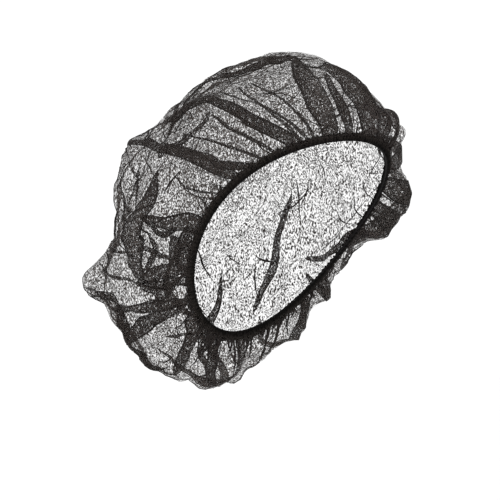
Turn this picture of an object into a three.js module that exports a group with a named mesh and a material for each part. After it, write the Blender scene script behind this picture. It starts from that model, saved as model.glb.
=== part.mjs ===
// Hairnet: a gathered cap of thin non-woven net with an elastic round its mouth.
// Millimetres, +Z up, the front of the mouth towards -Y and the net's left side towards +X.
// The origin is the point that the crown hangs from, on the inside of its top.
// A place on the net is an angle "around" (0 at the front, 90 at the left side, 180 at the
// back) and a share "up" (0 at the mouth's edge, 1 at the centre of the crown).
import * as THREE from "three";

// Bag: the puffed body of the net
const bagWidth = 226;
const frontReach = 93;
const bagReach = 146;
const bagDrop = 248.4;
const crownRise = 0.6;

// Mouth: the edge of the net, where the hem starts
const mouthWidth = 159;
const mouthFrontReach = 90.6;
const mouthFrontDrop = 59.9;
const mouthSideReach = 13.9;
const mouthSideDrop = 119.9;
const mouthBackReach = 49;
const mouthBackDrop = 213.3;
const mouthFade = 0.3;

// Walls and clearances
const netWall = 1.4;
const fitGap = 0.3;

// Hem: the gathered casing that holds the elastic
const hemHeight = 5.6;
const hemWall = 1;
const hemShoulder = 1.1;
const ruffleDepth = 0.7;

// Elastic: the round cord in the hem
const elasticDiameter = 1.8;
const elasticSides = 6;

// Gathers, billows and folds
const gatherCount = 45;
const gatherDepth = 1.6;
const gatherReach = 0.07;
const billowDepth = 20;
const foldRise = 6;
const foldWidth = 10;
const foldFade = 0.045;
const foldSteps = 6;
const foldEnd = 0.1;

// Net of facets: two stations to a gather, and rows that close up towards the mouth
const stationCount = gatherCount * 2;
const rowCount = 24;
const rowEasing = 1.3;
const slopeStep = 0.002;

// Rings of the bag, from the mouth to the centre of the crown.
// Along is a share of the bag's length from front to back, height a share of its height
// from the lowest point to the top, and across a share of half its width.
const rings = [
  { up: 0.00, front: [0.010, 0.757], side: [0.704, 0.331, 0.516], back: [0.594, 0.141] },
  { up: 0.04, front: [0.000, 0.775], side: [0.743, 0.351, 0.514], back: [0.603, 0.096] },
  { up: 0.10, front: [0.000, 0.823], side: [0.850, 0.406, 0.506], back: [0.649, 0.028] },
  { up: 0.20, front: [0.046, 0.896], side: [0.956, 0.481, 0.510], back: [0.757, 0.000] },
  { up: 0.32, front: [0.130, 0.956], side: [1.000, 0.565, 0.534], back: [0.891, 0.068] },
  { up: 0.44, front: [0.222, 0.988], side: [0.973, 0.615, 0.582], back: [0.992, 0.197] },
  { up: 0.54, front: [0.314, 1.000], side: [0.903, 0.640, 0.639], back: [1.000, 0.325] },
  { up: 0.62, front: [0.389, 1.000], side: [0.796, 0.657, 0.695], back: [0.925, 0.438] },
  { up: 0.72, front: [0.481, 0.988], side: [0.655, 0.674, 0.751], back: [0.883, 0.550] },
  { up: 0.84, front: [0.573, 0.956], side: [0.442, 0.690, 0.807], back: [0.858, 0.671] },
  { up: 0.94, front: [0.649, 0.920], side: [0.195, 0.699, 0.847], back: [0.782, 0.783] },
  { up: 1.00, front: [0.699, 0.880], side: [0.000, 0.699, 0.880], back: [0.699, 0.880] },
];

// Billows: soft swellings and dents, out as a share of the billow depth
const billows = [
  { around: -102, up: 0.44, spreadAround: 24, spreadUp: 0.09, out: -0.80 },
  { around: -125, up: 0.55, spreadAround: 16, spreadUp: 0.07, out: -0.70 },
  { around: -90, up: 0.65, spreadAround: 14, spreadUp: 0.07, out: 0.30 },
  { around: -66, up: 0.68, spreadAround: 15, spreadUp: 0.08, out: -0.25 },
  { around: -128, up: 0.41, spreadAround: 11, spreadUp: 0.05, out: 0.80 },
  { around: -141, up: 0.36, spreadAround: 10, spreadUp: 0.05, out: -0.40 },
  { around: -150, up: 0.22, spreadAround: 14, spreadUp: 0.06, out: 0.15 },
  { around: -50, up: 0.80, spreadAround: 50, spreadUp: 0.11, out: -0.45 },
  { around: -24, up: 0.54, spreadAround: 12, spreadUp: 0.06, out: -0.10 },
  { around: -8, up: 0.52, spreadAround: 20, spreadUp: 0.07, out: 0.20 },
  { around: 37, up: 0.30, spreadAround: 22, spreadUp: 0.10, out: -0.45 },
  { around: 50, up: 0.19, spreadAround: 8, spreadUp: 0.06, out: 0.60 },
  { around: 62, up: 0.17, spreadAround: 8, spreadUp: 0.06, out: -0.20 },
  { around: 74, up: 0.15, spreadAround: 12, spreadUp: 0.08, out: 1.00 },
  { around: 88, up: 0.13, spreadAround: 11, spreadUp: 0.07, out: 0.90 },
];

// Folds: ridges flanked by shallow dents, each along a line from one place to another,
// wide as a share of the fold width and high as a share of the fold rise
const folds = [
  { from: [-58, 0.55], to: [-46, 0.39], wide: 1.0, high: 0.8 },
  { from: [-46, 0.39], to: [-32, 0.05], wide: 1.0, high: 1.0 },
  { from: [-84, 0.62], to: [-66, 0.32], wide: 0.9, high: 0.9 },
  { from: [-66, 0.32], to: [-66, 0.03], wide: 1.0, high: 1.0 },
  { from: [-39, 0.57], to: [-6, 0.41], wide: 0.8, high: 0.8 },
  { from: [-12, 0.38], to: [-15, 0.05], wide: 1.1, high: 1.0 },
  { from: [-5, 0.31], to: [-4, 0.04], wide: 0.8, high: 0.8 },
  { from: [3, 0.34], to: [14, 0.04], wide: 1.0, high: 1.0 },
  { from: [16, 0.19], to: [28, 0.03], wide: 0.8, high: 0.8 },
  { from: [-74, 0.25], to: [-112, 0.17], wide: 1.0, high: 1.1 },
  { from: [-89, 0.20], to: [-95, 0.02], wide: 0.9, high: 0.9 },
  { from: [-122, 0.23], to: [-129, 0.05], wide: 1.0, high: 1.0 },
  { from: [-138, 0.21], to: [-132, 0.02], wide: 0.8, high: 0.9 },
  { from: [-124, 0.36], to: [-132, 0.24], wide: 0.9, high: 1.0 },
  { from: [-132, 0.24], to: [-160, 0.15], wide: 1.0, high: 1.0 },
  { from: [-148, 0.03], to: [-157, 0.14], wide: 0.8, high: 0.8 },
  { from: [44, 0.50], to: [36, 0.05], wide: 1.0, high: 1.0 },
  { from: [58, 0.44], to: [60, 0.05], wide: 1.0, high: 1.0 },
  { from: [72, 0.60], to: [66, 0.30], wide: 0.9, high: 0.9 },
  { from: [70, 0.26], to: [108, 0.18], wide: 1.0, high: 1.0 },
  { from: [92, 0.22], to: [96, 0.03], wide: 0.9, high: 0.9 },
  { from: [118, 0.30], to: [122, 0.05], wide: 1.0, high: 1.0 },
  { from: [140, 0.24], to: [134, 0.03], wide: 0.8, high: 0.9 },
  { from: [150, 0.42], to: [168, 0.16], wide: 1.0, high: 1.0 },
  { from: [178, 0.22], to: [176, 0.03], wide: 1.0, high: 0.9 },
  { from: [-172, 0.50], to: [-150, 0.62], wide: 1.0, high: 0.9 },
  { from: [162, 0.72], to: [176, 0.40], wide: 1.0, high: 1.0 },
  { from: [110, 0.70], to: [128, 0.44], wide: 1.0, high: 1.0 },
  { from: [-110, 0.78], to: [-128, 0.60], wide: 1.0, high: 0.8 },
  { from: [20, 0.66], to: [60, 0.80], wide: 0.9, high: 0.7 },
];

const bagLength = frontReach + bagReach;
const bagHeight = bagDrop + crownRise;

function alongToY(share) {
  return share * bagLength - frontReach;
}

function heightToZ(share) {
  return share * bagHeight - bagDrop;
}

// The seven lengths of a ring: front y and z, side x, y and z, back y and z
function ringLengths({ front, side, back }) {
  return [
    alongToY(front[0]),
    heightToZ(front[1]),
    side[0] * bagWidth / 2,
    alongToY(side[1]),
    heightToZ(side[2]),
    alongToY(back[0]),
    heightToZ(back[1]),
  ];
}

const ringRows = rings.map(ringLengths);

const mouthRow = [
  -mouthFrontReach,
  -mouthFrontDrop,
  mouthWidth / 2,
  -mouthSideReach,
  -mouthSideDrop,
  mouthBackReach,
  -mouthBackDrop,
];

// Slope of each ring length at a row, from the rows on both sides of it
function rowSlope(index, column) {
  const before = Math.max(index - 1, 0);
  const after = Math.min(index + 1, rings.length - 1);
  const rise = ringRows[after][column] - ringRows[before][column];
  return rise / (rings[after].up - rings[before].up);
}

// Ring lengths at any share up: a cubic through the rows, drawn to the mouth near its edge
function ringAt(up) {
  let index = 0;
  while (index < rings.length - 2 && rings[index + 1].up <= up) {
    index += 1;
  }
  const span = rings[index + 1].up - rings[index].up;
  const t = (up - rings[index].up) / span;
  const endWeight = t * t * (3 - 2 * t);
  const leaveWeight = t * (1 - t) * (1 - t) * span;
  const arriveWeight = t * t * (t - 1) * span;
  const fade = Math.max(0, 1 - up / mouthFade) ** 2;
  return mouthRow.map((edge, column) => {
    const start = ringRows[index][column] * (1 - endWeight);
    const end = ringRows[index + 1][column] * endWeight;
    const leave = rowSlope(index, column) * leaveWeight;
    const arrive = rowSlope(index + 1, column) * arriveWeight;
    return start + end + leave + arrive + fade * (edge - ringRows[0][column]);
  });
}

// Smooth middle surface of the bag: an ellipse through front, side and back,
// bent so that its sides can lie ahead of or below its middle
function bagPoint(around, up) {
  const [frontY, frontZ, sideX, sideY, sideZ, backY, backZ] = ringAt(up);
  const cosine = Math.cos(around);
  const sine = Math.sin(around);
  const middleY = (frontY + backY) / 2;
  const middleZ = (frontZ + backZ) / 2;
  return new THREE.Vector3(
    sideX * sine,
    middleY + (frontY - backY) / 2 * cosine + (sideY - middleY) * sine * sine,
    middleZ + (frontZ - backZ) / 2 * cosine + (sideZ - middleZ) * sine * sine,
  );
}

// Directions at a place on the smooth surface: along the ring, up the net and outwards
function bagFrame(around, up) {
  const low = Math.max(up - slopeStep, 0);
  const high = Math.min(up + slopeStep, 1 - slopeStep);
  const along = bagPoint(around + slopeStep, up).sub(bagPoint(around - slopeStep, up)).normalize();
  const climb = bagPoint(around, high).sub(bagPoint(around, low));
  const out = new THREE.Vector3().crossVectors(along, climb).normalize();
  const upward = new THREE.Vector3().crossVectors(out, along).normalize();
  return { along, upward, out };
}

// Signed difference of two angles in degrees, between -180 and 180
function angleBetween(a, b) {
  return ((a - b + 540) % 360) - 180;
}

function billowHeight(around, up) {
  const degrees = THREE.MathUtils.radToDeg(around);
  let height = 0;
  for (const billow of billows) {
    const sideways = angleBetween(degrees, billow.around) / billow.spreadAround;
    const upwards = (up - billow.up) / billow.spreadUp;
    height += billow.out * billowDepth * Math.exp(-sideways * sideways - upwards * upwards);
  }
  return height;
}

// Stations of a fold's line on the smooth surface, each with its share of the fold's height
const foldLines = folds.map(({ from, to, wide, high }) => {
  const stations = [];
  for (let step = 0; step <= foldSteps; step += 1) {
    const share = step / foldSteps;
    const degrees = from[0] + angleBetween(to[0], from[0]) * share;
    const up = from[1] + (to[1] - from[1]) * share;
    const point = bagPoint(THREE.MathUtils.degToRad(degrees), up);
    const swell = Math.sin(Math.PI * (foldEnd + (1 - 2 * foldEnd) * share));
    stations.push({ point, taper: Math.sqrt(swell) });
  }
  return { stations, width: wide * foldWidth, rise: high * foldRise };
});

// Height of one fold at a point: a ridge that dips below the net on both sides
function ridgeHeight(line, point) {
  let nearest = Infinity;
  let taper = 0;
  const segment = new THREE.Line3();
  const closest = new THREE.Vector3();
  for (let index = 0; index < foldSteps; index += 1) {
    const start = line.stations[index];
    const end = line.stations[index + 1];
    segment.set(start.point, end.point);
    const share = segment.closestPointToPointParameter(point, true);
    const distance = segment.at(share, closest).distanceTo(point);
    if (distance < nearest) {
      nearest = distance;
      taper = THREE.MathUtils.lerp(start.taper, end.taper, share);
    }
  }
  const reach = (nearest / line.width) ** 2;
  return line.rise * taper * (1 - reach) * Math.exp(-reach);
}

function foldHeight(point, up) {
  const fade = THREE.MathUtils.smoothstep(up, 0, foldFade);
  return foldLines.reduce((height, line) => height + ridgeHeight(line, point), 0) * fade;
}

// Gathers at the mouth, in and out from station to station
function gatherHeight(around, up) {
  return gatherDepth * Math.cos(gatherCount * around) * Math.exp(-up / gatherReach);
}

function stationAngle(station) {
  return station * Math.PI / gatherCount;
}

// A named mesh from its points and triangles
function solid(name, points, triangles, material) {
  const geometry = new THREE.BufferGeometry();
  const values = points.flatMap((point) => point.toArray());
  geometry.setAttribute("position", new THREE.Float32BufferAttribute(values, 3));
  geometry.setIndex(triangles);
  geometry.computeVertexNormals();
  const mesh = new THREE.Mesh(geometry, material);
  mesh.name = name;
  return mesh;
}

// Two triangles between station and the next one, from ring start "low" to ring start "high"
function quad(triangles, low, high, station, count) {
  const next = (station + 1) % count;
  triangles.push(low + station, low + next, high + next);
  triangles.push(low + station, high + next, high + station);
}

// Crown net: an outer and an inner face half a wall from the relief's middle surface,
// joined at the mouth and each closed at the centre of the crown
function makeCrownNet(material) {
  const points = [];
  const triangles = [];
  for (const side of [0.5, -0.5]) {
    for (let row = 0; row < rowCount; row += 1) {
      const up = (row / rowCount) ** rowEasing;
      for (let station = 0; station < stationCount; station += 1) {
        const around = stationAngle(station);
        const point = bagPoint(around, up);
        const relief = foldHeight(point, up) + billowHeight(around, up) + gatherHeight(around, up);
        points.push(point.addScaledVector(bagFrame(around, up).out, relief + side * netWall));
      }
    }
    const lastRing = points.slice(-stationCount);
    const centre = new THREE.Vector3();
    lastRing.forEach((point) => centre.addScaledVector(point, 1 / stationCount));
    points.push(centre);
  }
  const innerStart = rowCount * stationCount + 1;
  for (let station = 0; station < stationCount; station += 1) {
    const next = (station + 1) % stationCount;
    for (let row = 0; row < rowCount - 1; row += 1) {
      const low = row * stationCount;
      quad(triangles, low, low + stationCount, station, stationCount);
      quad(triangles, innerStart + low + stationCount, innerStart + low, station, stationCount);
    }
    const top = (rowCount - 1) * stationCount;
    triangles.push(top + station, top + next, innerStart - 1);
    triangles.push(innerStart + top + next, innerStart + top + station, points.length - 1);
    quad(triangles, innerStart, 0, station, stationCount);
  }
  return solid("crown_net", points, triangles, material);
}

// A ring-shaped body round the mouth: at each station a closed section of [out, down]
// points, given in the order that runs from the outside over the bottom to the inside
function makeMouthRing(name, sectionAt, material) {
  const points = [];
  const triangles = [];
  let sectionSize = 0;
  for (let station = 0; station < stationCount; station += 1) {
    const around = stationAngle(station);
    const { upward, out } = bagFrame(around, 0);
    const edge = bagPoint(around, 0).addScaledVector(out, billowHeight(around, 0));
    const section = sectionAt(around);
    sectionSize = section.length;
    for (const [outwards, down] of section) {
      points.push(edge.clone().addScaledVector(out, outwards).addScaledVector(upward, -down));
    }
  }
  for (let station = 0; station < stationCount; station += 1) {
    const low = station * sectionSize;
    const high = ((station + 1) % stationCount) * sectionSize;
    for (let corner = 0; corner < sectionSize; corner += 1) {
      quad(triangles, low, high, corner, sectionSize);
    }
  }
  return solid(name, points, triangles, material);
}

const elasticRadius = elasticDiameter / 2;
const grooveHalf = elasticRadius + fitGap;
const grooveTop = hemHeight - elasticDiameter;
const hemHalf = grooveHalf + hemWall;

// Hem: it starts one gap below the net's edge, follows its gathers, widens at the
// shoulders and ends in two lips with the elastic's groove between them
function hemSection(around) {
  const gather = gatherHeight(around, 0);
  const ruffle = ruffleDepth * (1 + Math.cos(gatherCount * around)) / 2;
  return [
    [gather + netWall / 2, fitGap],
    [hemHalf + ruffle, fitGap + hemShoulder],
    [hemHalf + ruffle, hemHeight],
    [grooveHalf, hemHeight],
    [grooveHalf, grooveTop],
    [-grooveHalf, grooveTop],
    [-grooveHalf, hemHeight],
    [-hemHalf, hemHeight],
    [-hemHalf, fitGap + hemShoulder],
    [gather - netWall / 2, fitGap],
  ];
}

// Elastic: round, one gap below the top of the groove
function elasticSection() {
  const corners = [];
  for (let side = 0; side < elasticSides; side += 1) {
    const turn = (side + 0.5) * 2 * Math.PI / elasticSides;
    const down = grooveTop + fitGap + elasticRadius + elasticRadius * Math.sin(turn);
    corners.push([elasticRadius * Math.cos(turn), down]);
  }
  return corners;
}

const netMaterial = new THREE.MeshStandardMaterial({
  color: 0x3b3634,
  roughness: 0.95,
  metalness: 0,
  side: THREE.DoubleSide,
});
const hemMaterial = new THREE.MeshStandardMaterial({ color: 0x211e1d, roughness: 0.95, metalness: 0 });
const elasticMaterial = new THREE.MeshStandardMaterial({ color: 0x141212, roughness: 0.7, metalness: 0 });

const hairnet = new THREE.Group();
hairnet.add(makeCrownNet(netMaterial));
hairnet.add(makeMouthRing("gathered_hem", hemSection, hemMaterial));
hairnet.add(makeMouthRing("elastic_band", elasticSection, elasticMaterial));

export default hairnet;
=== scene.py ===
# A gathered hairnet in the form that it has when worn. Metres, +Z up, the front of its mouth
# towards -Y. The frame's origin is on the inside of the crown's top, where the net hangs.
import bpy
import numpy as np
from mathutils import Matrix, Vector


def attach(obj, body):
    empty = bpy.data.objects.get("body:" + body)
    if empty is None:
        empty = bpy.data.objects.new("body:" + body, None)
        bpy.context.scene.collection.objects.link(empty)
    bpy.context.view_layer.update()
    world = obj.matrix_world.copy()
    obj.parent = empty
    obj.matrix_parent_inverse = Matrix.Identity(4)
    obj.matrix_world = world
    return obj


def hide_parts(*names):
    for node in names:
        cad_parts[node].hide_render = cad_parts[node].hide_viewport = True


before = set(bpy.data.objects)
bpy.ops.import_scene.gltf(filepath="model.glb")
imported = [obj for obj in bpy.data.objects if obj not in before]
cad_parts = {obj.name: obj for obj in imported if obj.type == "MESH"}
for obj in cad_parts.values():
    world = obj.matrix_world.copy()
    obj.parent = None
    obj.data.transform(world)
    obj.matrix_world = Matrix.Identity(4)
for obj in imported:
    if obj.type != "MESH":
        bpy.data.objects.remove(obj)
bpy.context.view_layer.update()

# Camera: level, 40 degrees round from the front towards the net's right side, far enough
# away that the view is nearly flat. The picture is square and 379 mm wide at the net.
view_azimuth = np.radians(-40)
view_distance = 6.0
picture_width = 0.379
sensor_width = 36.0
picture_right = np.array([np.cos(view_azimuth), np.sin(view_azimuth), 0.0])
towards_camera = np.array([np.sin(view_azimuth), -np.cos(view_azimuth), 0.0])
aim = picture_right * -0.0186 + np.array([0.0, 0.0, -0.1463])

camera_data = bpy.data.cameras.new("camera")
camera_data.sensor_width = sensor_width
camera_data.lens = sensor_width * view_distance / picture_width
camera = bpy.data.objects.new("camera", camera_data)
camera.location = aim + towards_camera * view_distance
camera.rotation_euler = Vector(towards_camera).to_track_quat("Z", "Y").to_euler()
bpy.context.scene.collection.objects.link(camera)
bpy.context.scene.camera = camera

# Crown net: one round disc of thin black non-woven net, drawn in at its edge so that it
# puffs into a bag. It is stretched smooth in front and on top and hangs free at the back,
# and what is too much for its shape lies in flat knife folds, three layers deep.
bag_width = 0.226
front_reach = 0.093
bag_reach = 0.146
bag_drop = 0.2484
crown_rise = 0.0006
bag_length = front_reach + bag_reach
bag_height = bag_drop + crown_rise

# Rings from the mouth to the centre of the crown. Along is a share of the bag's length from
# front to back, height a share of its height from the lowest point, across a share of half
# its width. Columns: up, front along and height, side across, along and height, back along
# and height.
rings = np.array([
    [0.00, 0.010, 0.757, 0.704, 0.331, 0.516, 0.594, 0.141],
    [0.04, 0.000, 0.775, 0.743, 0.351, 0.514, 0.603, 0.096],
    [0.10, 0.000, 0.823, 0.850, 0.406, 0.506, 0.649, 0.028],
    [0.20, 0.046, 0.896, 0.956, 0.481, 0.510, 0.757, 0.000],
    [0.32, 0.130, 0.956, 1.000, 0.565, 0.534, 0.891, 0.068],
    [0.44, 0.222, 0.988, 0.973, 0.615, 0.582, 0.992, 0.197],
    [0.54, 0.314, 1.000, 0.903, 0.640, 0.639, 1.000, 0.325],
    [0.62, 0.389, 1.000, 0.796, 0.657, 0.695, 0.925, 0.438],
    [0.72, 0.481, 0.988, 0.655, 0.674, 0.751, 0.883, 0.550],
    [0.84, 0.573, 0.956, 0.442, 0.690, 0.807, 0.858, 0.671],
    [0.94, 0.649, 0.920, 0.195, 0.699, 0.847, 0.782, 0.783],
    [1.00, 0.699, 0.880, 0.000, 0.699, 0.880, 0.699, 0.880],
])
ring_scale = np.array([bag_length, bag_height, bag_width / 2, bag_length, bag_height,
                       bag_length, bag_height])
ring_start = np.array([-front_reach, -bag_drop, 0.0, -front_reach, -bag_drop,
                       -front_reach, -bag_drop])

# Billows, columns: around in degrees, up, spread around in degrees, spread up, out in metres
billows = np.array([
    [-102, 0.44, 24, 0.09, -0.016],
    [-125, 0.55, 16, 0.07, -0.014],
    [-90, 0.65, 14, 0.07, 0.006],
    [-66, 0.68, 15, 0.08, -0.005],
    [-128, 0.41, 11, 0.05, 0.016],
    [-141, 0.36, 10, 0.05, -0.008],
    [-150, 0.22, 14, 0.06, 0.003],
    [-50, 0.80, 50, 0.11, -0.009],
    [-24, 0.54, 12, 0.06, -0.002],
    [-8, 0.52, 20, 0.07, 0.004],
    [37, 0.30, 22, 0.10, -0.009],
    [50, 0.19, 8, 0.06, 0.012],
    [62, 0.17, 8, 0.06, -0.004],
    [74, 0.15, 12, 0.08, 0.020],
    [88, 0.13, 11, 0.07, 0.018],
])


def ring_at(up):
    """The seven lengths of the ring at a share up: a cubic through the table's rows, with each
    row's slope taken from the rows on both sides of it."""
    knots = rings[:, 0]
    lengths = rings[:, 1:] * ring_scale + ring_start
    slopes = np.empty_like(lengths)
    slopes[1:-1] = (lengths[2:] - lengths[:-2]) / (knots[2:] - knots[:-2])[:, None]
    slopes[0] = (lengths[1] - lengths[0]) / (knots[1] - knots[0])
    slopes[-1] = (lengths[-1] - lengths[-2]) / (knots[-1] - knots[-2])
    row = np.clip(np.searchsorted(knots, up, side="right") - 1, 0, len(knots) - 2)
    span = (knots[row + 1] - knots[row])[..., None]
    t = (up - knots[row])[..., None] / span
    arrive = t * t * (3 - 2 * t)
    return (lengths[row] * (1 - arrive) + lengths[row + 1] * arrive
            + slopes[row] * span * t * (1 - t) ** 2 + slopes[row + 1] * span * t * t * (t - 1))


def bag_point(around, up):
    """Smooth bag: an ellipse through the ring's front, side and back points, with the square
    of the sine bending its sides ahead of or below its middle."""
    front_y, front_z, side_x, side_y, side_z, back_y, back_z = np.moveaxis(ring_at(up), -1, 0)
    cosine, sine = np.cos(around), np.sin(around)
    middle_y, middle_z = (front_y + back_y) / 2, (front_z + back_z) / 2
    return np.stack([
        side_x * sine,
        middle_y + (front_y - back_y) / 2 * cosine + (side_y - middle_y) * sine ** 2,
        middle_z + (front_z - back_z) / 2 * cosine + (side_z - middle_z) * sine ** 2,
    ], axis=-1)


# Slopes are taken over a small step, and never right at the centre of the crown
smallest = 1e-12
slope_step = 0.002
last_slope_up = 0.99
last_up = 0.995


def unit(vectors):
    """Vectors divided by their lengths."""
    return vectors / np.maximum(np.linalg.norm(vectors, axis=-1, keepdims=True), smallest)


def bag_slopes(around, up):
    """Change of the smooth bag's point for one radian around and for one share up."""
    low = np.clip(up - slope_step, 0, 1 - slope_step)
    high = np.maximum(np.clip(up + slope_step, 0, 1 - slope_step), low + slope_step / 2)
    along = ((bag_point(around + slope_step, up) - bag_point(around - slope_step, up))
             / (2 * slope_step))
    climb = (bag_point(around, high) - bag_point(around, low)) / (high - low)[..., None]
    return along, climb


def bag_out(around, up):
    """Outward direction of the smooth bag: across both of its slopes."""
    along, climb = bag_slopes(around, np.minimum(up, last_up))
    return unit(np.cross(along, climb))


def billow_height(around, up):
    """Sum of bell-shaped swellings and dents, each round a place on the net."""
    height = np.zeros(np.broadcast(around, up).shape)
    for centre, level, spread_around, spread_up, out in billows:
        sideways = (np.degrees(around) - centre + 180) % 360 - 180
        height += out * np.exp(-(sideways / spread_around) ** 2 - ((up - level) / spread_up) ** 2)
    return height


# Low folds in the net's form, columns: around and up of both ends, half width and height in
# metres. The flat knife folds further down lie along most of them.
ridges = np.array([
    [-58, 0.55, -46, 0.39, 0.0100, 0.0048],
    [-46, 0.39, -32, 0.05, 0.0100, 0.0060],
    [-84, 0.62, -66, 0.32, 0.0090, 0.0054],
    [-66, 0.32, -66, 0.03, 0.0100, 0.0060],
    [-39, 0.57, -6, 0.41, 0.0080, 0.0048],
    [-12, 0.38, -15, 0.05, 0.0110, 0.0060],
    [-5, 0.31, -4, 0.04, 0.0080, 0.0048],
    [3, 0.34, 14, 0.04, 0.0100, 0.0060],
    [16, 0.19, 28, 0.03, 0.0080, 0.0048],
    [-74, 0.25, -112, 0.17, 0.0100, 0.0066],
    [-89, 0.20, -95, 0.02, 0.0090, 0.0054],
    [-122, 0.23, -129, 0.05, 0.0100, 0.0060],
    [-138, 0.21, -132, 0.02, 0.0080, 0.0054],
    [-124, 0.36, -132, 0.24, 0.0090, 0.0060],
    [-132, 0.24, -160, 0.15, 0.0100, 0.0060],
    [-148, 0.03, -157, 0.14, 0.0080, 0.0048],
    [44, 0.50, 36, 0.05, 0.0100, 0.0060],
    [58, 0.44, 60, 0.05, 0.0100, 0.0060],
    [72, 0.60, 66, 0.30, 0.0090, 0.0054],
    [70, 0.26, 108, 0.18, 0.0100, 0.0060],
    [92, 0.22, 96, 0.03, 0.0090, 0.0054],
    [118, 0.30, 122, 0.05, 0.0100, 0.0060],
    [140, 0.24, 134, 0.03, 0.0080, 0.0054],
    [150, 0.42, 168, 0.16, 0.0100, 0.0060],
    [178, 0.22, 176, 0.03, 0.0100, 0.0054],
    [-172, 0.50, -150, 0.62, 0.0100, 0.0054],
    [162, 0.72, 176, 0.40, 0.0100, 0.0060],
    [110, 0.70, 128, 0.44, 0.0100, 0.0060],
    [-110, 0.78, -128, 0.60, 0.0100, 0.0048],
    [20, 0.66, 60, 0.80, 0.0090, 0.0042],
])
ridge_steps = 6
ridge_fade = 0.045


def ridge_height(points, up):
    """Sum of the low folds: each is a ridge that dips on both sides, by its distance from a
    line on the smooth bag, dies out at the line's ends and fades towards the mouth."""
    height = np.zeros(points.shape[:-1])
    for start_around, start_up, end_around, end_up, half_width, rise in ridges:
        share = np.linspace(0, 1, ridge_steps + 1)
        turn = (end_around - start_around + 180) % 360 - 180
        line = bag_point(np.radians(start_around + turn * share),
                         start_up + (end_up - start_up) * share)
        taper = np.sqrt(np.sin(np.pi * (0.1 + 0.8 * share)))
        nearest = np.full(height.shape, np.inf)
        strength = np.zeros(height.shape)
        for index in range(ridge_steps):
            leg = line[index + 1] - line[index]
            place = np.clip(((points - line[index]) @ leg) / (leg @ leg), 0, 1)
            distance = np.linalg.norm(points - line[index] - place[..., None] * leg, axis=-1)
            closer = distance < nearest
            nearest = np.where(closer, distance, nearest)
            here = taper[index] + (taper[index + 1] - taper[index]) * place
            strength = np.where(closer, here, strength)
        reach = (nearest / half_width) ** 2
        height += rise * strength * (1 - reach) * np.exp(-reach)
    fade = np.clip(up / ridge_fade, 0, 1)
    return height * fade * fade * (3 - 2 * fade)


# Crumpling: waves from 6.5 mm long upwards, in patches, at full depth only where the net
# hangs behind the line that hanging starts at
crumple_draw = np.random.default_rng(7)
crumple_count = 26
crumple_shortest = 0.0065
crumple_growth = 1.055
crumple_patch = 0.055
crumple_depth = 0.034
crumple_offset = 0.15
crumple_directions = unit(crumple_draw.normal(size=(crumple_count, 3)))
crumple_lengths = crumple_shortest * crumple_growth ** np.arange(crumple_count)
crumple_phases = crumple_draw.uniform(0, 1, crumple_count)
crumple_masks = unit(crumple_draw.normal(size=(crumple_count, 3))) / crumple_patch
hanging_start = 0.01
hanging_span = 0.05
stretched_share = 0.45


def crumple_height(points, up):
    """Creased relief: triangle waves in many directions, each bent by a slow sine and present
    only in the patches that a second slow sine gives it. Flatter towards the mouth and in
    front, where the net is stretched smooth."""
    height = np.zeros(points.shape[:-1])
    for direction, length, phase, mask in zip(crumple_directions, crumple_lengths,
                                               crumple_phases, crumple_masks):
        bend = 0.25 * np.sin(points @ mask * 2.1 + phase * 9)
        place = points @ direction / length + phase + bend
        wave = np.abs((place % 1) * 2 - 1) * 2 - 1
        patch = np.clip(np.sin(points @ mask * 2 + phase * 40) * 1.6, 0, 1)
        height += (wave - crumple_offset) * patch * length * crumple_depth
    hanging = np.clip((points[..., 1] - hanging_start) / hanging_span, 0, 1)
    return (height * np.clip(up / 0.12, 0.25, 1)
            * (stretched_share + (1 - stretched_share) * hanging))


gather_count = 84
gather_depth = 0.0014
gather_reach = 0.06
edge_band = 0.015


def gather_height(around, up):
    """Gathers at the mouth: a sine round the mouth, uneven in width and depth, shallow where
    the hem holds the edge, which dies out up the net at a different level for each part."""
    wander = (0.9 * np.sin(3 * around + 1) + 0.6 * np.sin(7 * around + 4)
              + 0.4 * np.sin(17 * around))
    depth = gather_depth * (1 + 0.4 * np.sin(11 * around + 2) + 0.3 * np.sin(23 * around))
    reach = gather_reach * (1 + 0.4 * np.sin(5 * around + 2))
    return (depth * np.sin(gather_count * around + wander) * np.exp(-up / reach)
            * np.clip(up / edge_band, 0.25, 1))


def net_surface(around, up):
    """The net itself: the smooth bag, moved outwards by billows, folds, creases and gathers."""
    smooth = bag_point(around, up)
    height = (billow_height(around, up) + ridge_height(smooth, up) + crumple_height(smooth, up)
              + gather_height(around, up))
    return smooth + bag_out(around, up)[..., None, :].reshape(smooth.shape) * height[..., None]


def grid_faces(rows, columns, start=0, closed=False):
    """Four corners of every square of a grid whose points run along its columns first. A
    closed grid joins its last column to its first."""
    across = columns if closed else columns - 1
    row, column = np.meshgrid(np.arange(rows - 1), np.arange(across), indexing="ij")
    after = (column + 1) % columns
    corners = [row * columns + column, row * columns + after,
               (row + 1) * columns + after, (row + 1) * columns + column]
    return np.stack(corners, axis=-1).reshape(-1, 4) + start


def make_piece(name, points, faces, material, body="root"):
    """A smooth-shaded mesh object at the origin, from points and faces, riding on a body."""
    mesh = bpy.data.meshes.new(name)
    mesh.from_pydata(points.reshape(-1, 3), [], faces.tolist())
    mesh.shade_smooth()
    mesh.materials.append(material)
    piece = bpy.data.objects.new(name, mesh)
    bpy.context.scene.collection.objects.link(piece)
    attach(piece, body)
    return piece


def give_attribute(piece, name, values):
    """Stores one number for each point of the mesh under a name that the material reads."""
    layer = piece.data.attributes.new(name, "FLOAT", "POINT")
    layer.data.foreach_set("value", np.asarray(values, np.float32).ravel())


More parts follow.
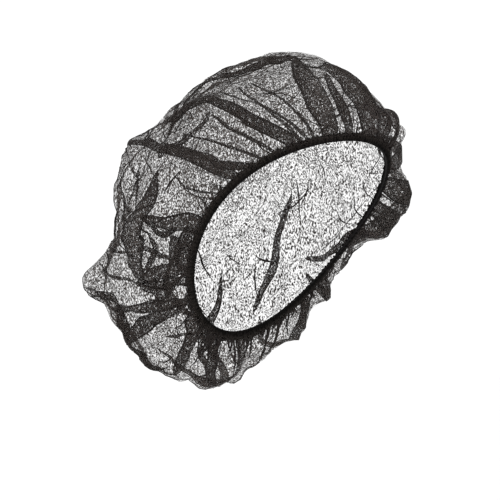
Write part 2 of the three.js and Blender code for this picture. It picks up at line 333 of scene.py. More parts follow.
net_stations = 440
net_rows = 148
row_easing = 1.15
row_up = (np.arange(net_rows) / (net_rows - 1)) ** row_easing
station_around = np.arange(net_stations) * 2 * np.pi / net_stations
grid_around, grid_up = np.meshgrid(station_around, row_up)
sheet_points = net_surface(grid_around, grid_up)
sheet_points[-1] = sheet_points[-2].mean(axis=0)
sheet_faces = grid_faces(net_rows, net_stations, closed=True)

# Knife folds: a hairpin of net that stands on a line and is pressed flat to one side of it.
# Section columns: place across the fold as a share of its width, height as a share of its loft, and
# pressing. Pressing is how much denser the material makes the web and how much painted shade darkens
# its colour. It is greatest at the edges, where it paints dark shade lines along the fold.
wide_section = np.array([
    [-0.50, 0.12, 1.00], [-0.44, 0.20, 0.85], [-0.38, 0.26, 0.50], [0.00, 0.34, 0.40],
    [0.37, 0.42, 0.46], [0.45, 0.50, 0.85], [0.50, 0.70, 1.00], [0.45, 0.90, 0.85],
    [0.37, 0.98, 0.46], [0.00, 0.96, 0.40], [-0.38, 0.93, 0.50], [-0.44, 0.90, 0.85],
    [-0.50, 0.60, 1.00],
])
narrow_section = np.array([
    [-0.50, 0.10, 0.85], [0.25, 0.40, 0.75], [0.50, 0.70, 0.95], [0.25, 1.00, 0.75],
    [-0.50, 0.60, 0.85],
])


def fold_line(stops, count):
    """Evenly spread places along a line through stops of around (degrees), up and perhaps
    width: a smooth curve through the stops, by a cubic for each leg."""
    stops = np.asarray(stops, float)
    stops[:, 0] = np.degrees(np.unwrap(np.radians(stops[:, 0])))
    padded = np.vstack([2 * stops[0] - stops[1], stops, 2 * stops[-1] - stops[-2]])
    share = np.linspace(0, len(stops) - 1, count)
    leg = np.minimum(share.astype(int), len(stops) - 2)
    t = (share - leg)[:, None]
    before, start, end, after = (padded[leg + k] for k in range(4))
    return (start + 0.5 * t * (end - before)
            + t * t * (before - 2.5 * start + 2 * end - 0.5 * after)
            + t ** 3 * (1.5 * (start - end) + 0.5 * (after - before)))


def fold_points(lines, widths, section, loft):
    """Points of many folds at once: each section point is carried across its line by its
    share of the width there, on the net's own surface, and lifted by its share of the loft."""
    around, up = np.radians(lines[..., 0]), lines[..., 1]
    along, climb = bag_slopes(around, np.clip(up, 0, last_slope_up))
    out = unit(np.cross(along, climb))
    run = unit(np.gradient(bag_point(around, up), axis=-2))
    across = np.cross(out, run)
    along_square = (along * along).sum(-1)
    climb_square = (climb * climb).sum(-1)
    mixed = (along * climb).sum(-1)
    area = np.maximum(along_square * climb_square - mixed ** 2, smallest)
    side_along, side_climb = (across * along).sum(-1), (across * climb).sum(-1)
    turn = (side_along * climb_square - side_climb * mixed) / area
    rise = (side_climb * along_square - side_along * mixed) / area
    offset = widths[..., None] * section[:, 0]
    place_around = around[..., None] + turn[..., None] * offset
    place_up = np.clip(up[..., None] + rise[..., None] * offset, 0, last_up)
    lift = loft[..., None] * section[:, 1]
    return net_surface(place_around, place_up) + bag_out(place_around, place_up) * lift[..., None]


# The folds that show, each a line of stops: around in degrees, up, width in millimetres
shown_folds = [
    [(-62, 0.51, 3.0), (-57, 0.46, 5.0), (-50, 0.43, 7.4), (-45, 0.37, 8.2), (-42, 0.24, 8.4),
     (-40, 0.14, 9.0), (-33, 0.0, 9.6)],
    [(-66, 0.37, 2.0), (-60, 0.45, 2.8), (-56, 0.49, 3.0), (-50, 0.54, 2.4), (-42, 0.59, 1.6)],
    [(-48, 0.31, 1.6), (-48, 0.18, 2.4), (-45, 0.0, 2.8)],
    [(-47, 0.32, 2.0), (-56, 0.29, 4.6), (-65, 0.30, 5.6), (-70, 0.32, 4.0)],
    [(-35, 0.38, 1.4), (-35, 0.21, 2.2), (-31, 0.0, 3.0)],
    [(-86, 0.63, 4.5), (-72, 0.53, 6.6), (-66, 0.35, 8.6), (-64, 0.22, 9.0), (-64, 0.12, 9.0),
     (-66, 0.0, 8.6)],
    [(-66, 0.27, 3.0), (-62, 0.15, 5.0), (-62, 0.08, 5.7), (-58, 0.0, 5.7)],
    [(-46, 0.58, 1.6), (-38, 0.54, 2.6), (-28, 0.47, 4.6), (-20, 0.45, 5.4), (-12, 0.42, 7.0),
     (-8, 0.35, 6.4)],
    [(-9, 0.40, 8.0), (-15, 0.27, 13.6), (-16, 0.17, 16.5), (-16, 0.10, 15.4), (-14, 0.0, 12.0)],
    [(-5, 0.28, 3.4), (-7, 0.17, 5.2), (-7, 0.10, 6.8), (-4, 0.0, 6.5)],
    [(-8, 0.37, 6.0), (0, 0.32, 11.0), (3, 0.24, 14.0), (4, 0.17, 15.5), (7, 0.10, 15.5),
     (12, 0.0, 13.0)],
    [(6, 0.21, 6.0), (14, 0.13, 13.0), (20, 0.07, 15.0), (26, 0.0, 15.0)],
    [(26, 0.24, 6.0), (32, 0.15, 11.0), (40, 0.07, 13.0), (46, 0.0, 14.0)],
    [(-73, 0.27, 3.6), (-78, 0.23, 6.0), (-84, 0.215, 8.6), (-89, 0.225, 13.0), (-94, 0.235, 20.0),
     (-98, 0.225, 23.0), (-103, 0.20, 17.0), (-108, 0.18, 12.0), (-115, 0.145, 8.0)],
    [(-89, 0.21, 5.0), (-92, 0.13, 12.0), (-92, 0.07, 16.0), (-94, 0.03, 15.0), (-96, 0.0, 14.0)],
    [(-97, 0.08, 5.0), (-104, 0.065, 9.0), (-113, 0.06, 7.5)],
    [(-93, 0.05, 7.0), (-104, 0.035, 10.0), (-118, 0.015, 9.3)],
    [(-91, 0.19, 2.4), (-97, 0.11, 5.2), (-93, 0.08, 4.1)],
    [(-96, 0.16, 2.0), (-104, 0.12, 4.6), (-112, 0.145, 3.4)],
    [(-100, 0.18, 2.6), (-104, 0.12, 4.4), (-107, 0.08, 3.0)],
    [(-115, 0.17, 4.2), (-113, 0.11, 12.0), (-115, 0.06, 13.0), (-120, 0.0, 9.8)],
    [(-113, 0.19, 2.0), (-119, 0.12, 7.0), (-122, 0.09, 8.0), (-121, 0.05, 5.0)],
    [(-116, 0.15, 5.3), (-118, 0.108, 9.1), (-119, 0.073, 9.1), (-119.5, 0.038, 6.1)],
    [(-128, 0.28, 4.0), (-125, 0.20, 10.5), (-125, 0.12, 9.1), (-128, 0.07, 7.6),
     (-133, 0.0, 6.0)],
    [(-138, 0.24, 5.5), (-132, 0.16, 10.5), (-130, 0.10, 11.0), (-131, 0.06, 8.7),
     (-135, 0.0, 6.0)],
    [(-128, 0.40, 3.0), (-125, 0.34, 5.4), (-124, 0.275, 6.6), (-129, 0.235, 6.8), (-137, 0.225, 6.8),
     (-144, 0.205, 6.0), (-152, 0.175, 5.2), (-162, 0.16, 5.0)],
    [(-131, 0.41, 1.4), (-132, 0.34, 1.8), (-135, 0.29, 1.8), (-144, 0.26, 2.0), (-156, 0.21, 1.6)],
    [(-143, 0.0, 11.5), (-146, 0.03, 13.5), (-148, 0.045, 11.4), (-152, 0.08, 10.3),
     (-159, 0.15, 7.0)],
    [(-163, 0.0, 5.0), (-167, 0.03, 7.0), (-169, 0.06, 8.6), (-173, 0.10, 9.0), (-180, 0.15, 8.0)],
    [(-149, 0.0, 3.4), (-160, 0.06, 4.6), (-168, 0.08, 5.0)],
    [(-141, 0.11, 1.5), (-148, 0.05, 2.3), (-157, 0.0, 2.0)],
    [(-40, 0.43, 1.0), (-38, 0.30, 1.6), (-33, 0.17, 2.0), (-28, 0.05, 2.2), (-27, 0.0, 2.2)],
    [(-30, 0.36, 1.0), (-28, 0.24, 1.5), (-25, 0.10, 1.8), (-24, 0.0, 1.8)],
    [(-58, 0.33, 1.0), (-57, 0.22, 1.6), (-54, 0.10, 2.0), (-52, 0.0, 2.2)],
    [(-86, 0.57, 1.6), (-82, 0.46, 3.0), (-82, 0.34, 2.8), (-89, 0.26, 2.6)],
    [(-95, 0.55, 1.6), (-97, 0.47, 2.6), (-94, 0.36, 2.4), (-93, 0.27, 2.4)],
    [(-73, 0.19, 1.4), (-77, 0.10, 1.8), (-78, 0.0, 2.4)],
    [(-79, 0.07, 1.4), (-84, 0.035, 2.3), (-89, 0.0, 2.0)],
    [(-106, 0.34, 1.6), (-104, 0.25, 2.6), (-103, 0.18, 2.3)],
    [(-118, 0.40, 1.6), (-115, 0.29, 2.6), (-113, 0.19, 2.3)],
    [(52, 0.54, 2.5), (46, 0.40, 6.0), (40, 0.22, 9.0), (37, 0.0, 10.0)],
    [(66, 0.50, 2.5), (58, 0.36, 7.0), (60, 0.18, 12.0), (56, 0.0, 13.0)],
    [(60, 0.30, 3.0), (68, 0.24, 9.0), (75, 0.15, 14.0), (72, 0.06, 13.0), (70, 0.0, 12.0)],
    [(70, 0.14, 4.0), (80, 0.16, 10.0), (96, 0.22, 12.0), (108, 0.30, 6.0), (114, 0.38, 3.0)],
    [(98, 0.25, 3.0), (92, 0.16, 9.0), (86, 0.07, 12.0), (84, 0.0, 11.0)],
    [(104, 0.20, 3.0), (108, 0.11, 7.0), (100, 0.04, 9.0), (97, 0.0, 8.0)],
    [(116, 0.34, 3.0), (118, 0.22, 7.0), (124, 0.0, 8.0)],
    [(138, 0.34, 2.6), (144, 0.24, 6.0), (140, 0.14, 7.0), (134, 0.0, 7.0)],
    [(146, 0.52, 2.0), (150, 0.44, 5.0), (161, 0.37, 8.0), (163, 0.26, 8.0), (174, 0.15, 4.0)],
    [(-176, 0.36, 2.4), (178, 0.26, 5.0), (173, 0.15, 7.5), (176, 0.0, 8.0)],
    [(166, 0.62, 2.0), (171, 0.53, 5.0), (166, 0.46, 6.0), (158, 0.42, 3.0)],
    [(108, 0.60, 2.0), (120, 0.52, 4.5), (126, 0.44, 6.0), (140, 0.36, 3.0)],
    [(-152, 0.42, 2.5), (-140, 0.50, 5.5), (-128, 0.52, 5.5), (-114, 0.50, 3.0)],
    [(-158, 0.46, 2.0), (-163, 0.36, 4.5), (-158, 0.28, 6.0), (-150, 0.25, 4.0)],
]
long_steps = 34
fold_loft = 0.0009
tip_share = 0.07
slimmest_fold = 1.0
around_wobble = 0.8
width_wobble = 0.22
fold_draw = np.random.default_rng(12)


def fold_taper(count, end_share):
    """Width along a fold from end to end: full over its middle, round towards its ends."""
    share = np.linspace(0, 1, count)
    return np.clip(np.minimum(share, 1 - share) / end_share, 0.04, 1) ** 0.6


def wobble(count_folds, count, size):
    """Slow random change along each fold, from three sines of random phase."""
    share = np.linspace(0, 1, count)
    phase = fold_draw.uniform(0, 2 * np.pi, (count_folds, 3, 1))
    quickness = np.array([3.0, 7.0, 13.0])[None, :, None]
    weight = np.array([0.5, 0.3, 0.2])[None, :, None]
    return (np.sin(share * quickness + phase) * weight).sum(axis=1) * size


shown_stops = np.stack([fold_line(stops, long_steps) for stops in shown_folds])
shown_lines = shown_stops[..., :2].copy()
shown_lines[..., 0] += wobble(len(shown_folds), long_steps, around_wobble)
shown_share = np.linspace(0, 1, long_steps)
starts_free = shown_lines[:, :1, 1] > 0.02
ends_free = shown_lines[:, -1:, 1] > 0.02
shown_tips = (np.where(starts_free, np.clip(shown_share / tip_share, 0.05, 1), 1)
              * np.where(ends_free, np.clip((1 - shown_share) / tip_share, 0.05, 1), 1)) ** 0.6
shown_widths = np.maximum(shown_stops[..., 2], slimmest_fold) * 0.001 * shown_tips
shown_widths *= 1 + wobble(len(shown_folds), long_steps, width_wobble)
shown_points = fold_points(shown_lines, shown_widths, wide_section,
                           np.full(shown_widths.shape, fold_loft))

# Creases: short narrow folds all over the bag, most of them running up and down
crease_count = 150
crease_steps = 14
crease_loft = 0.0008
degrees_per_metre = 520
up_per_metre = 3.6
crease_centre = np.stack([fold_draw.uniform(-180, 180, crease_count),
                          0.06 + 0.84 * fold_draw.uniform(0, 1, crease_count) ** 0.8], axis=-1)
crease_heading = fold_draw.normal(np.pi / 2, 0.75, crease_count)
crease_length = fold_draw.uniform(0.014, 0.055, crease_count)
crease_bend = fold_draw.normal(0, 0.25, crease_count)
crease_share = np.linspace(-0.5, 0.5, crease_steps)
crease_turn = crease_heading[:, None] + crease_bend[:, None] * crease_share
bag_girth = 0.35 + 0.65 * np.sin(np.pi * crease_centre[:, 1:])
crease_lines = crease_centre[:, None] + crease_length[:, None, None] * np.stack([
    np.cos(crease_turn) * crease_share * degrees_per_metre / bag_girth,
    np.sin(crease_turn) * crease_share * up_per_metre,
], axis=-1)
crease_lines[..., 1] = np.clip(crease_lines[..., 1], 0.02, 0.97)
crease_widths = (fold_draw.uniform(0.0006, 0.0016, crease_count)[:, None]
                 * fold_taper(crease_steps, 0.5) * (1 + wobble(crease_count, crease_steps, 0.3)))
crease_points = fold_points(crease_lines, crease_widths, narrow_section,
                            np.full(crease_widths.shape, crease_loft))

# Firmness of a fold's pressing, which sets its density and its painted shade alike: full up to 6 mm
# wide, and least from 18 mm on
firmness_start = 1.15
firmness_width = 0.040
firmness_least = 0.7


def joined_folds(fold_sets):
    """Points, faces, ply and pressing of sets of folds, each set with its section and widths. Ply
    tells the layers of cloth apart for the material. The pressing makes the web denser and darkens
    its colour with painted shade. A wide fold is pressed less, and painted less dark, than a narrow
    one."""
    points, faces, ply, press_and_painted_shade = [], [], [], []
    start = 0
    for folds, section, widths in fold_sets:
        firmness = np.clip(firmness_start - widths / firmness_width, firmness_least, 1)
        for number, fold in enumerate(folds):
            rows, columns = fold.shape[:2]
            points.append(fold.reshape(-1, 3))
            faces.append(grid_faces(rows, columns, start))
            start += rows * columns
            layer = np.where(np.arange(columns) < columns / 2, 1.0, 2.0)
            ply.append(np.tile(layer, rows) + 2 * (number % 5))
            press_and_painted_shade.append((firmness[number][:, None] * section[:, 2]).ravel())
    return [np.concatenate(parts) for parts in (points, faces, ply, press_and_painted_shade)]


fold_mesh, fold_faces, fold_ply, fold_press_and_painted_shade = joined_folds(
    [(shown_points, wide_section, shown_widths), (crease_points, narrow_section, crease_widths)])
net_points = np.concatenate([sheet_points.reshape(-1, 3), fold_mesh])
net_faces = np.concatenate([sheet_faces, fold_faces + grid_up.size])
net_ply = np.concatenate([np.zeros(grid_up.size), fold_ply])
# The sheet's pressing gives a denser web and painted shade that darkens its colour towards the mouth.
# The folds' pressing comes from their sections.
net_press_and_painted_shade = np.concatenate([np.exp(-grid_up.ravel() / edge_band), fold_press_and_painted_shade])


def add_node(tree, kind, **settings):
    """A node of a kind in a tree, with its settings made."""
    node = tree.nodes.new(kind)
    for name, value in settings.items():
        setattr(node, name, value)
    return node


def plug(tree, value, socket):
    """Gives an input socket its value: a link from another socket, or a constant."""
    if isinstance(value, bpy.types.NodeSocket):
        tree.links.new(value, socket)
    else:
        socket.default_value = value


def calculate(tree, operation, first, second=None, clamp=False):
    """A Math node on numbers or sockets; gives its output socket."""
    node = add_node(tree, "ShaderNodeMath", operation=operation, use_clamp=clamp)
    plug(tree, first, node.inputs[0])
    if second is not None:
        plug(tree, second, node.inputs[1])
    return node.outputs[0]


def add_scaled(tree, start, offset, scale):
    """Start plus offset times scale, for vectors; gives its output socket."""
    scaled = add_node(tree, "ShaderNodeVectorMath", operation="SCALE")
    plug(tree, offset, scaled.inputs[0])
    plug(tree, scale, scaled.inputs["Scale"])
    total = add_node(tree, "ShaderNodeVectorMath", operation="ADD")
    plug(tree, start, total.inputs[0])
    plug(tree, scaled.outputs[0], total.inputs[1])
    return total.outputs[0]


def add_turned(tree, vector, turn, stretch):
    """A vector stretched and turned by a Mapping node; gives its output socket."""
    mapping = add_node(tree, "ShaderNodeMapping", vector_type="POINT")
    mapping.inputs["Rotation"].default_value = turn
    mapping.inputs["Scale"].default_value = stretch
    plug(tree, vector, mapping.inputs["Vector"])
    return mapping.outputs[0]


def add_noise(tree, vector, scale, detail=1):
    """A noise texture read at a vector, with its scale in cells per metre."""
    noise = add_node(tree, "ShaderNodeTexNoise")
    noise.inputs["Scale"].default_value = scale
    noise.inputs["Detail"].default_value = detail
    plug(tree, vector, noise.inputs["Vector"])
    return noise


def new_group(name, inputs, outputs):
    """A shader node group with number inputs and outputs, and its two end nodes."""
    tree = bpy.data.node_groups.new(name, "ShaderNodeTree")
    for label, value in inputs:
        socket = tree.interface.new_socket(label, in_out="INPUT", socket_type="NodeSocketFloat")
        socket.default_value = value
    for label in outputs:
        tree.interface.new_socket(label, in_out="OUTPUT", socket_type="NodeSocketFloat")
    return tree, add_node(tree, "NodeGroupInput"), add_node(tree, "NodeGroupOutput")


# Web: cells per metre along and across a fibre for each way that fibres lie, how far they
# bend, then the clumps, the slow drift of density and the shift that tells layers apart
fibre_turns = ((0.3, 0.2, 0.4), (1.2, -0.5, 1.5), (-0.7, 1.1, 2.4), (0.9, 0.8, -0.8))
fibre_stretch = (60, 520, 520)
bend_scale = 180
bend_reach = 0.0035
clump_turn = (0.25, 0.35, 0.0)
clump_stretch = (1.0, 1.0, 0.45)
clump_scale = 1100
clump_gain = 4
drift_scale = 45
drift_gain = 0.9
ply_shift = (0.0137, 0.0071, 0.0033)
noise_middle = 0.5


def make_fibre_web():
    """Random fibres laid in every direction: each of several fields of long thin noise, turned its
    own way, gives a fibre where the noise crosses its middle value. Clumps and holes come from a
    coarser noise, longest down the web. Where the web is pressed together it is denser and more even,
    and the pressing also paints shade that darkens its colour. Outputs how much light it stops, its
    height, and its tone: the random clumps less the painted shade."""
    tree, given, result = new_group(
        "fibre_web", [("Cover", 0.3), ("Fibres", 0.5), ("Clumps", 0.4), ("Fibre Width", 0.03)],
        ["Stop", "Height", "Tone And Painted Shade"])
    coordinates = add_node(tree, "ShaderNodeTexCoord")
    ply = add_node(tree, "ShaderNodeAttribute", attribute_name="ply")
    press_and_painted_shade = add_node(tree, "ShaderNodeAttribute", attribute_name="press_and_painted_shade").outputs["Fac"]
    place = add_scaled(tree, coordinates.outputs["Object"], ply_shift, ply.outputs["Fac"])
    bend = add_noise(tree, place, bend_scale)
    bent = add_scaled(tree, place, bend.outputs["Color"], bend_reach)
    fibres = None
    for turn in fibre_turns:
        noise = add_noise(tree, add_turned(tree, bent, turn, fibre_stretch), scale=1)
        away = calculate(tree, "ABSOLUTE",
                         calculate(tree, "SUBTRACT", noise.outputs["Fac"], noise_middle))
        fibre = calculate(tree, "SUBTRACT", 1, calculate(
            tree, "DIVIDE", away, given.outputs["Fibre Width"]), clamp=True)
        fibres = fibre if fibres is None else calculate(tree, "MAXIMUM", fibres, fibre)
    clump = add_noise(tree, add_turned(tree, place, clump_turn, clump_stretch),
                      clump_scale).outputs["Fac"]
    loose = calculate(tree, "SUBTRACT", 1, press_and_painted_shade, clamp=True)
    swing = calculate(tree, "SUBTRACT", clump, noise_middle)
    for factor in (clump_gain, loose, given.outputs["Clumps"]):
        swing = calculate(tree, "MULTIPLY", swing, factor)
    drift = add_noise(tree, place, drift_scale, detail=2).outputs["Fac"]
    drift = calculate(tree, "MULTIPLY", calculate(tree, "SUBTRACT", drift, noise_middle),
                      drift_gain)
    stop = given.outputs["Cover"]
    for part in (swing, press_and_painted_shade, drift):
        stop = calculate(tree, "ADD", stop, part)
    stop = calculate(tree, "ADD", stop, calculate(
        tree, "MULTIPLY", fibres, given.outputs["Fibres"]), clamp=True)
    plug(tree, stop, result.inputs["Stop"])
    plug(tree, fibres, result.inputs["Height"])
    # Colour factor: random clump tone less the pressing, which is painted shade darkening fold edges,
    # the mouth and the hem's bottom
    plug(tree, calculate(tree, "SUBTRACT", clump, press_and_painted_shade, clamp=True), result.inputs["Tone And Painted Shade"])
    return tree


fibre_web = make_fibre_web()
web_roughness = 0.85
web_bump_strength = 0.4
web_bump_height = 0.0003


def make_net_material(name, dark, light, cover, fibres, clumps, width, shine):
    """A net finish: the fibre web sets how see-through it is, its colour between two shades by random
    clumps and by painted shade where it is pressed, and a fine bump; the shader stays matt."""
    material = bpy.data.materials.new(name)
    material.use_nodes = True
    tree = material.node_tree
    shader = tree.nodes["Principled BSDF"]
    web = add_node(tree, "ShaderNodeGroup", node_tree=fibre_web)
    for label, value in (("Cover", cover), ("Fibres", fibres), ("Clumps", clumps),
                         ("Fibre Width", width)):
        web.inputs[label].default_value = value
    shade = add_node(tree, "ShaderNodeMix", data_type="RGBA")
    shade.inputs["A"].default_value = (*dark, 1)
    shade.inputs["B"].default_value = (*light, 1)
    tree.links.new(web.outputs["Tone And Painted Shade"], shade.inputs["Factor"])
    tree.links.new(shade.outputs["Result"], shader.inputs["Base Color"])
    tree.links.new(web.outputs["Stop"], shader.inputs["Alpha"])
    bump = add_node(tree, "ShaderNodeBump")
    bump.inputs["Strength"].default_value = web_bump_strength
    bump.inputs["Distance"].default_value = web_bump_height
    tree.links.new(web.outputs["Height"], bump.inputs["Height"])
    tree.links.new(bump.outputs["Normal"], shader.inputs["Normal"])
    shader.inputs["Roughness"].default_value = web_roughness
    shader.inputs["Specular IOR Level"].default_value = shine
    return material


# Dark colour for low clumps and for the painted shade on pressed fold edges; light colour for loose
# high clumps
net_material = make_net_material("net", (0.0125, 0.0100, 0.0090), (0.060, 0.050, 0.045),
                                 cover=0.20, fibres=0.30, clumps=1.75, width=0.03, shine=0.12)
crown_net = make_piece("crown_net_cloth", net_points, net_faces, net_material)
give_attribute(crown_net, "ply", net_ply)
give_attribute(crown_net, "press_and_painted_shade", net_press_and_painted_shade)
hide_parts("crown_net")

# Mouth pleats: where the net is drawn together it runs into the hem in narrow upright folds,
# dense and long at the sides and the back, short and sparse in front.
pleat_count = 200
pleat_steps = 14
pleat_loft = 0.0010
pleat_shortest = 0.012
pleat_longer = 0.10
sparse_middle = 322
sparse_span = 60
pleat_share = np.linspace(0, 1, pleat_steps)
pleat_jitter = fold_draw.uniform(-0.45, 0.45, pleat_count)
pleat_start = (np.arange(pleat_count) + pleat_jitter) * 360 / pleat_count
pleat_full = 0.25 + 0.75 * np.clip(
    np.abs((pleat_start - sparse_middle) / sparse_span) - 0.55, 0, 1)
pleat_reach = (pleat_shortest
               + pleat_longer * pleat_full * fold_draw.uniform(0, 1, pleat_count) ** 2.4)
pleat_lean = fold_draw.uniform(-4, 4, pleat_count)
pleat_lines = np.stack([pleat_start[:, None] + pleat_lean[:, None] * pleat_share ** 1.5,
                        pleat_reach[:, None] * pleat_share], axis=-1)
pleat_widths = (fold_draw.uniform(0.0010, 0.0032, pleat_count)[:, None]
                * np.clip(1 - pleat_share, 0.03, 1) ** 0.7)
pleat_points = fold_points(pleat_lines, pleat_widths, narrow_section,
                           np.full(pleat_widths.shape, pleat_loft))
# The pleats are pressed like the folds: a denser web and painted shade darkening their edges
pleat_mesh, pleat_faces, pleat_ply, pleat_press_and_painted_shade = joined_folds(
    [(pleat_points, narrow_section, pleat_widths)])
mouth_pleats = make_piece("mouth_pleats", pleat_mesh, pleat_faces, net_material)
give_attribute(mouth_pleats, "ply", pleat_ply)
give_attribute(mouth_pleats, "press_and_painted_shade", pleat_press_and_painted_shade)

# Strands: the thickest fibres of the web, flat polypropylene threads a quarter of a millimetre
# wide that wander in it and stand off it a little, so that the net looks hairy at its outline.
strand_count = 3200
strand_steps = 8
strand_width = 0.00026
strand_draw = np.random.default_rng(23)
strand_up = 0.01 + 0.97 * strand_draw.uniform(0, 1, strand_count) ** 0.8
strand_around = strand_draw.uniform(0, 2 * np.pi, strand_count)
strand_heading = strand_draw.uniform(0, 2 * np.pi, strand_count)
strand_length = strand_draw.uniform(0.012, 0.045, strand_count)
strand_bend = strand_draw.normal(0, 0.9, strand_count)
strand_off = strand_draw.uniform(0.0, 0.0006, strand_count)
strand_roll = strand_draw.uniform(0, np.pi, strand_count)
strand_share = np.linspace(-0.5, 0.5, strand_steps)
strand_turn = strand_heading[:, None] + strand_bend[:, None] * strand_share
strand_step = strand_length[:, None] / (strand_steps - 1)
strand_across = np.cumsum(np.cos(strand_turn) * strand_step, axis=1)
strand_climb = np.cumsum(np.sin(strand_turn) * strand_step, axis=1)
start_along, start_climb = bag_slopes(strand_around, np.clip(strand_up, 0, last_slope_up))
around_span = np.maximum(np.linalg.norm(start_along, axis=-1), 0.004)[:, None]
up_span = np.maximum(np.linalg.norm(start_climb, axis=-1), 0.05)[:, None]
thread_around = strand_around[:, None] + strand_across / around_span
thread_up = np.clip(strand_up[:, None] + strand_climb / up_span, 0.0, last_up)
thread_points = net_surface(thread_around, thread_up)
thread_out = bag_out(thread_around, thread_up)
thread_points += thread_out * strand_off[:, None, None]
thread_run = unit(np.gradient(thread_points, axis=1))
thread_side = unit(np.cross(thread_out, thread_run))
thread_flat = (thread_side * np.cos(strand_roll)[:, None, None]
               + thread_out * np.sin(strand_roll)[:, None, None] * 0.8)
strand_mesh = np.stack([thread_points - thread_flat * strand_width / 2,
                        thread_points + thread_flat * strand_width / 2], axis=2)
strand_faces = np.concatenate([grid_faces(strand_steps, 2, number * strand_steps * 2)
                               for number in range(strand_count)])


def plain_material(name, colour, roughness, shine=0.5):
    """A finish that is the same all over."""
    material = bpy.data.materials.new(name)
    material.use_nodes = True
    shader = material.node_tree.nodes["Principled BSDF"]
    shader.inputs["Base Color"].default_value = (*colour, 1)
    shader.inputs["Roughness"].default_value = roughness
    shader.inputs["Specular IOR Level"].default_value = shine
    return material


strand_material = plain_material("strand", (0.022, 0.019, 0.018), roughness=0.7)
strands = make_piece("net_strands", strand_mesh, strand_faces, strand_material)

# Gathered hem: the net's edge, turned over the elastic and drawn in to less than a third
# of its length by it, so that it stands in a dense dark roll of fine upright ruffles.
hem_height = 0.0050
hem_lap = 0.0004
hem_half = 0.0019
elastic_radius = 0.0009
fit_gap = 0.0003
elastic_down = hem_height - 2 * elastic_radius + fit_gap + elastic_radius

# Ruffles, a row each: share of the depth, count round the mouth, sway and count of the sway.
# The tips of the hem's upper edge follow in the same way, with a height in metres first.
hem_ruffles = ((1.0, 168, 2.2, 9), (0.6, 251, 3.0, 13), (0.5, 97, 2.0, 5))
hem_tips = ((0.0005, 143, 2.0, 21), (0.0003, 83, 2.0, 31))


def mouth_frame(around):
    """The net's edge and the directions up the net and outwards there."""
    level = np.zeros_like(around)
    along, climb = bag_slopes(around, level)
    out = unit(np.cross(along, climb))
    edge = bag_point(around, level) + out * billow_height(around, level)[..., None]
    return edge, unit(np.cross(out, along)), out


def hem_surface(around, turn):
    """A roll round the mouth: an upright oval section whose wall goes in and out with three
    sets of ruffles, each a sine that leans its own way, with small tips along its top."""
    edge, upward, out = mouth_frame(around)
    leans = (1.1 * np.cos(turn), -1.6 * np.cos(turn), 0.7 * turn)
    ruffle = sum(share * np.sin(count * around + sway * np.sin(slow * around) + lean)
                 for (share, count, sway, slow), lean in zip(hem_ruffles, leans))
    thick = hem_half * (0.95 + 0.30 * ruffle)
    rise = (hem_lap + hem_height) / 2
    middle = (hem_lap - hem_height) / 2
    tips = sum(size * (1 + np.sin(count * around + sway * np.sin(slow * around)))
               for size, count, sway, slow in hem_tips)
    fray = tips * np.clip(np.sin(turn), 0, 1)
    height = middle + rise * np.sign(np.sin(turn)) * np.abs(np.sin(turn)) ** 0.8 + fray
    side = thick * np.sign(np.cos(turn)) * np.abs(np.cos(turn)) ** 0.7
    return edge + upward * height[..., None] + out * side[..., None]


hem_stations = 1800
hem_sides = 22
hem_around, hem_turn = np.meshgrid(np.arange(hem_stations) * 2 * np.pi / hem_stations,
                                   np.arange(hem_sides) * 2 * np.pi / hem_sides, indexing="ij")
hem_points = hem_surface(hem_around, hem_turn)


def ring_faces(stations, sides):
    """Squares of a tube that closes on itself both ways."""
    station, side = np.meshgrid(np.arange(stations), np.arange(sides), indexing="ij")
    ahead, beside = (station + 1) % stations, (side + 1) % sides
    corners = [station * sides + side, ahead * sides + side, ahead * sides + beside,
               station * sides + beside]
    return np.stack(corners, axis=-1).reshape(-1, 4)


hem_material = make_net_material("hem", (0.0020, 0.0017, 0.0015), (0.030, 0.025, 0.022),
                                 cover=0.80, fibres=0.4, clumps=0.4, width=0.04, shine=0.05)
gathered_hem = make_piece("gathered_hem_roll", hem_points, ring_faces(hem_stations, hem_sides),
                          hem_material)
give_attribute(gathered_hem, "ply", np.full(hem_stations * hem_sides, 30.0))
# Hem pressing: denser and painted darker towards the bottom of the roll, thinner and lighter at its
# ruffled top
give_attribute(gathered_hem, "press_and_painted_shade", 0.35 * (1 - np.sin(hem_turn)))
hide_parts("gathered_hem")

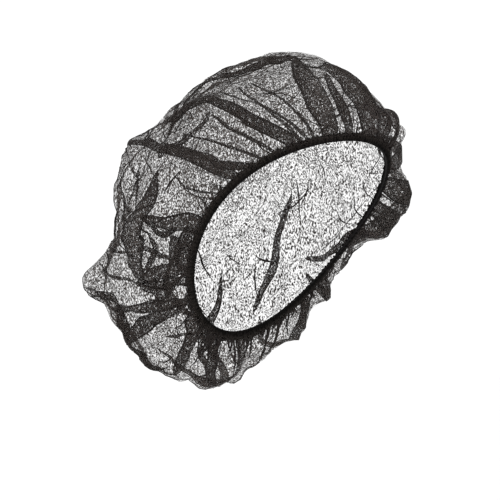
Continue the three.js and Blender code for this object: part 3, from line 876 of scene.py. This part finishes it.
# Elastic: a round cord of rubber threads in a tight black covering, which lies in the
# bottom of the hem and shows as a smooth line along the mouth.
elastic_stations = 900
elastic_sides = 12
elastic_around, elastic_turn = np.meshgrid(
    np.arange(elastic_stations) * 2 * np.pi / elastic_stations,
    np.arange(elastic_sides) * 2 * np.pi / elastic_sides, indexing="ij")
elastic_edge, elastic_up, elastic_out = mouth_frame(elastic_around)
elastic_points = (elastic_edge
                  + elastic_up * (elastic_radius * np.sin(elastic_turn) - elastic_down)[..., None]
                  + elastic_out * (elastic_radius * np.cos(elastic_turn))[..., None])

elastic_material = plain_material("elastic", (0.004, 0.0035, 0.0035), roughness=0.7, shine=0.1)
elastic_band = make_piece("elastic_cord", elastic_points,
                          ring_faces(elastic_stations, elastic_sides), elastic_material)
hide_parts("elastic_band")

# Studio: a white floor well below the net, a white surround and two large soft lights
floor_level = -0.5
floor_half = 12.0
surround_strength = 1.1
floor_mesh = bpy.data.meshes.new("floor")
floor_corners = [(-floor_half, -floor_half, floor_level), (floor_half, -floor_half, floor_level),
                 (floor_half, floor_half, floor_level), (-floor_half, floor_half, floor_level)]
floor_mesh.from_pydata(floor_corners, [], [(0, 1, 2, 3)])
floor = bpy.data.objects.new("floor", floor_mesh)
bpy.context.scene.collection.objects.link(floor)
floor_mesh.materials.append(plain_material("floor", (0.93, 0.93, 0.93), roughness=0.9, shine=0.1))

world = bpy.data.worlds.new("studio")
world.use_nodes = True
surround = world.node_tree.nodes["Background"]
surround.inputs["Color"].default_value = (1, 1, 1, 1)
surround.inputs["Strength"].default_value = surround_strength
bpy.context.scene.world = world
bpy.context.scene.view_settings.view_transform = "Standard"


def add_soft_light(name, place, size, power):
    """A square light at a place, facing the net."""
    data = bpy.data.lights.new(name, "AREA")
    data.size = size
    data.energy = power
    light = bpy.data.objects.new(name, data)
    light.location = place
    light.rotation_euler = (Vector(place) - Vector(aim)).to_track_quat("Z", "Y").to_euler()
    bpy.context.scene.collection.objects.link(light)


add_soft_light("key", (-1.6, -1.3, 1.2), 1.2, 32)
add_soft_light("fill", (1.2, -1.8, 0.4), 1.6, 12)
